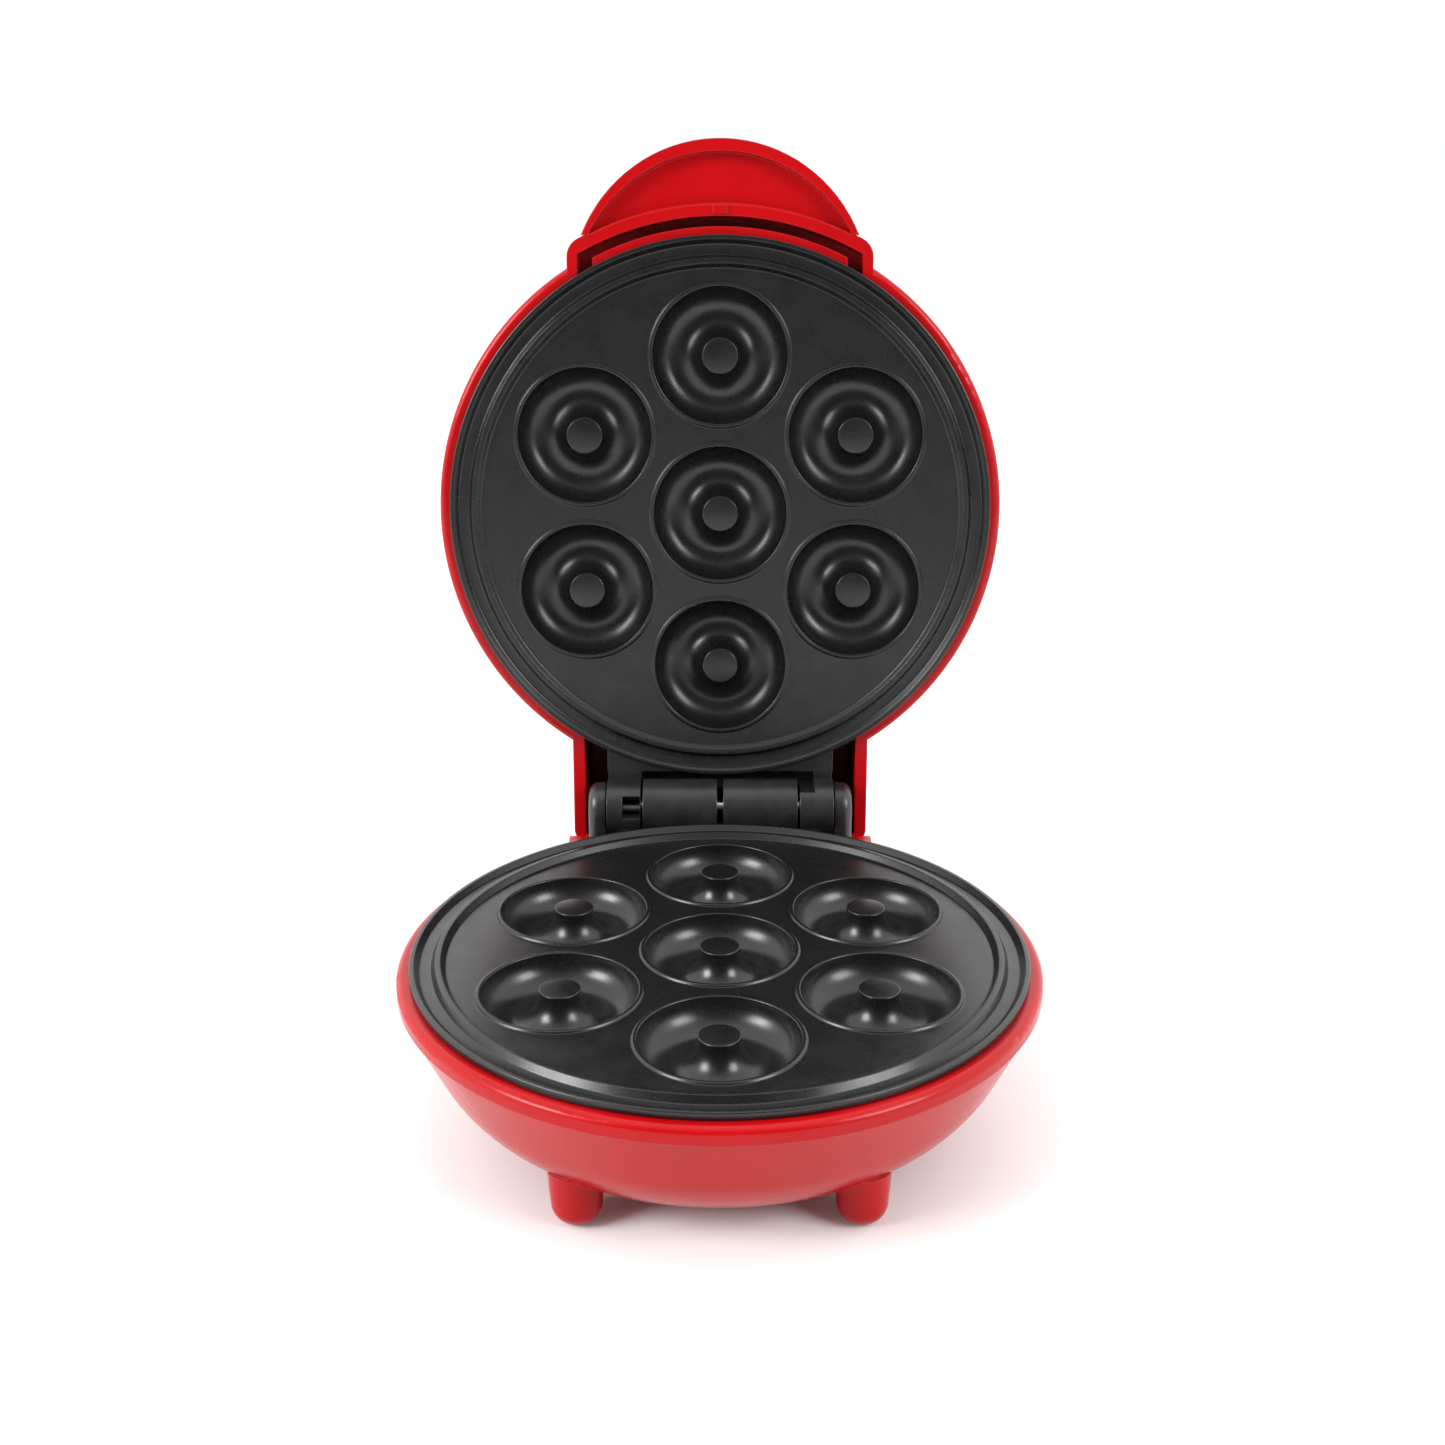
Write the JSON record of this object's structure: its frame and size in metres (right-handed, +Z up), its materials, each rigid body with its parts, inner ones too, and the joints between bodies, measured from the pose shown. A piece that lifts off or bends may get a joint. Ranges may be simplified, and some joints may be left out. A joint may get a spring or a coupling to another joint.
{
  "type": "donut maker",
  "caption": "Round electric doughnut maker with a hinged lid, two coated plates of ring cavities, a front handle and domed feet, shown open.",
  "frame": {"origin": "on the surface that the feet stand on, midway between the front of the base and the back of the open lid", "axes": "+Z up, +X to the user's right, +Y to the back, where the hinge is"},
  "size_m": [0.2088, 0.2935, 0.3037],
  "materials": {
    "red_plastic": "moulded, semi-gloss",
    "nonstick_casting": "cast aluminium with a satin non-stick coating",
    "black_plastic": "moulded, fine texture",
    "steel": "plain",
    "black_rubber": "matt",
    "white_plastic": "matt",
    "white_ceramic": "unglazed ceramic",
    "zinc": "pressed metal",
    "fuse_sleeve": "sleeved",
    "red_lens": "clear, tinted",
    "green_lens": "clear, tinted",
    "lamp_glass": "clear"
  },
  "bodies": {
    "base": {"base_housing": "red_plastic", "lower_plate": "nonstick_casting", "lower_heating_element": "steel", "lower_terminal_insulators": "white_ceramic", "lower_terminal_pins": "steel", "lower_heat_shield": "steel", "lower_plate_screws": "steel", "lower_thermostat": "zinc", "lower_thermostat_screws": "steel", "lower_thermal_fuse": "fuse_sleeve", "lower_fuse_clip": "steel", "lower_fuse_screw": "steel", "base_hinge_bracket": "black_plastic", "hinge_pin": "steel", "cord_gland": "black_rubber", "cord_clamp": "white_plastic", "cord_clamp_screws": "steel", "terminal_block": "white_plastic", "terminal_block_screw": "steel", "base_bracket_screws": "steel"},
    "lid": {"lid_housing": "red_plastic", "lid_cover": "red_plastic", "upper_plate": "nonstick_casting", "upper_heating_element": "steel", "upper_terminal_insulators": "white_ceramic", "upper_terminal_pins": "steel", "upper_heat_shield": "steel", "upper_plate_screws": "steel", "upper_thermostat": "zinc", "upper_thermostat_screws": "steel", "upper_thermal_fuse": "fuse_sleeve", "upper_fuse_clip": "steel", "upper_fuse_screw": "steel", "lid_hinge_bracket": "black_plastic", "lid_bracket_screws": "steel", "power_lens": "red_lens", "power_lamp": "lamp_glass", "ready_lens": "green_lens", "ready_lamp": "lamp_glass"}
  },
  "joints": [
    {"name": "lid_hinge", "type": "hinge", "parent": "base", "child": "lid", "pos_m": [0, 0.0703, 0.05992], "axis": [1, 0, 0], "range_deg": [0, 96.4]}
  ]
}
